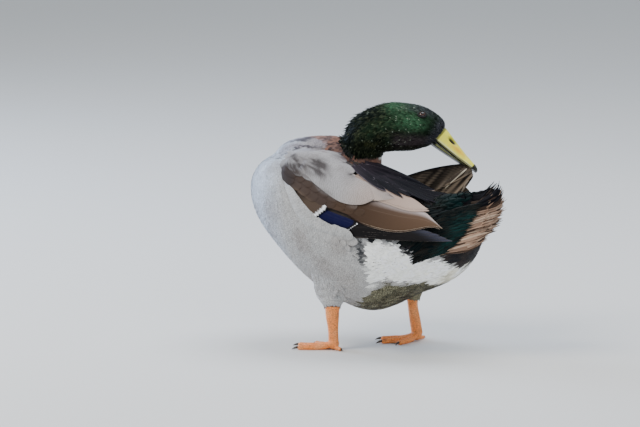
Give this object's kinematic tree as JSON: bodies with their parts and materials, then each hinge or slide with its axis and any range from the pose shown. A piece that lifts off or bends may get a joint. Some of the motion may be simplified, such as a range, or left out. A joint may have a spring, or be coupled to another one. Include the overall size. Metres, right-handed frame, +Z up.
{
  "type": "preening mallard drake",
  "caption": "Life-size mallard drake standing on both webbed feet, its head turned back over the shoulder to nibble a lifted wing feather.",
  "frame": {"origin": "on the floor under the middle of the bird's bounding box", "axes": "+Z up; the breast faces -X and the tail +X; the bird's left side is -Y; the turned-back head faces +X"},
  "size_m": [0.3073, 0.1746, 0.2766],
  "materials": {
    "bill_lower": "satin dark yellow horn",
    "bill_upper": "satin yellow horn with a dark nail",
    "eye_left": "wet dark brown",
    "eye_right": "wet dark brown",
    "foot_left": "orange webbed skin",
    "foot_right": "orange webbed skin",
    "head": "dark glossy green feathers with a purple-black cheek",
    "neck_lower": "chestnut feathers",
    "neck_upper": "dark glossy green feathers",
    "shank_left": "orange scaled skin",
    "shank_right": "orange scaled skin",
    "tail": "buff feathers with dark centres under black-green coverts",
    "thigh_left": "soft grey feathers",
    "thigh_right": "soft grey feathers",
    "torso": "soft grey feathers, finely barred",
    "wing_left": "grey-brown feathers with a blue-violet bar",
    "wing_right": "grey-brown feathers with a blue-violet bar"
  },
  "bodies": {
    "root": {"bill_lower": "bill_lower", "bill_upper": "bill_upper", "eye_left": "eye_left", "eye_right": "eye_right", "foot_left": "foot_left", "foot_right": "foot_right", "head": "head", "neck_lower": "neck_lower", "neck_upper": "neck_upper", "shank_left": "shank_left", "shank_right": "shank_right", "tail": "tail", "thigh_left": "thigh_left", "thigh_right": "thigh_right", "torso": "torso", "wing_left": "wing_left", "wing_right": "wing_right"}
  },
  "joints": []
}
